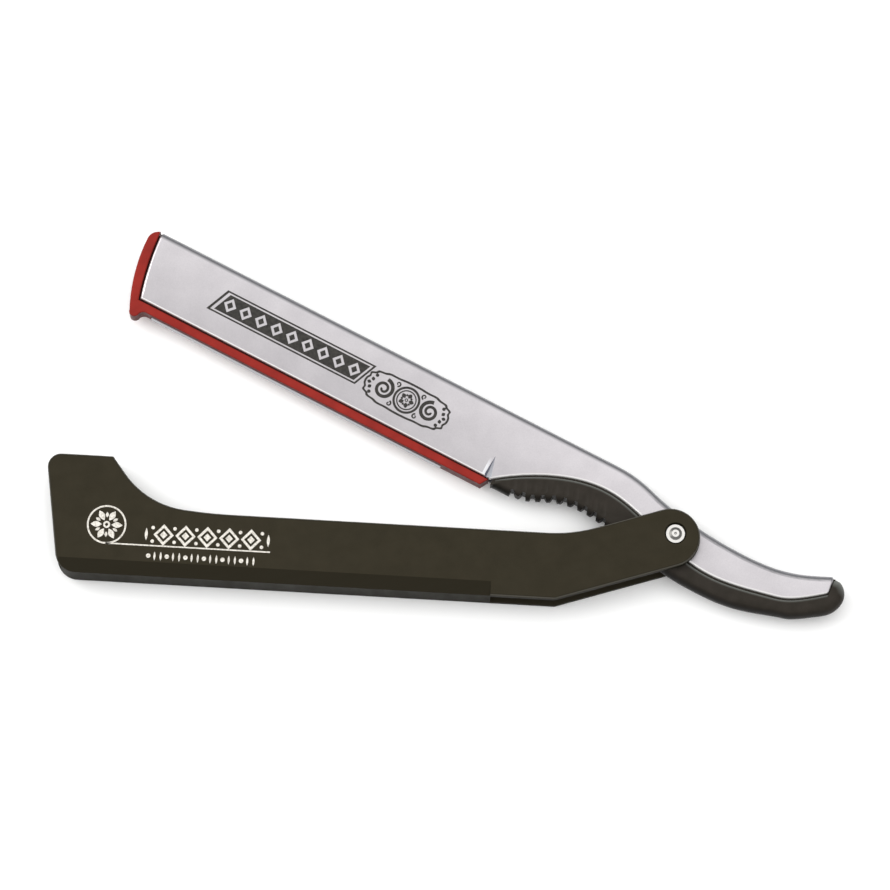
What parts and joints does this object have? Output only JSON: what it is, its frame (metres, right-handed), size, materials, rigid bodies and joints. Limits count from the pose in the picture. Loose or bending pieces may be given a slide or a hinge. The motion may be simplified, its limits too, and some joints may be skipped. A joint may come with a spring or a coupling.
{
  "type": "straight razor",
  "caption": "Folding straight razor that takes a replaceable blade: black channel handle, folded metal blade holder with curved tail, red slide-in blade carrier.",
  "frame": {"origin": "middle of the handle's rear flat face, 60 mm from the pivot", "axes": "+Z along the pivot pin, out of the front cheek; +X along the handle, from butt to pivot; +Y out of the handle's open mouth"},
  "size_m": [0.1507, 0.0677, 0.008],
  "materials": {
    "handle_plastic": "fine satin moulding",
    "rivet_metal": "bright nickel",
    "sleeve_metal": "satin brushed",
    "core_plastic": "smooth black",
    "carrier_plastic": "red, semi-gloss",
    "blade_steel": "ground stainless"
  },
  "bodies": {
    "grip": {"handle": "handle_plastic", "pivot_pin": "rivet_metal", "outer_washer_front": "rivet_metal", "outer_washer_rear": "rivet_metal"},
    "holder": {"blade_sleeve": "sleeve_metal", "tang_core": "core_plastic", "thrust_washer_front": "rivet_metal", "thrust_washer_rear": "rivet_metal"},
    "insert": {"carrier_front_leaf": "carrier_plastic", "carrier_rear_leaf": "carrier_plastic", "razor_blade": "blade_steel"}
  },
  "joints": [
    {"name": "pivot", "type": "hinge", "parent": "grip", "child": "holder", "pos_m": [0.06, 0.0076, 0.004], "axis": [0, 0, -1], "range_deg": [-25.4, 290]},
    {"name": "carrier_slide", "type": "slide", "parent": "holder", "child": "insert", "axis": [-0.91, 0.4145, 0], "range_m": [0, 0.078]}
  ]
}
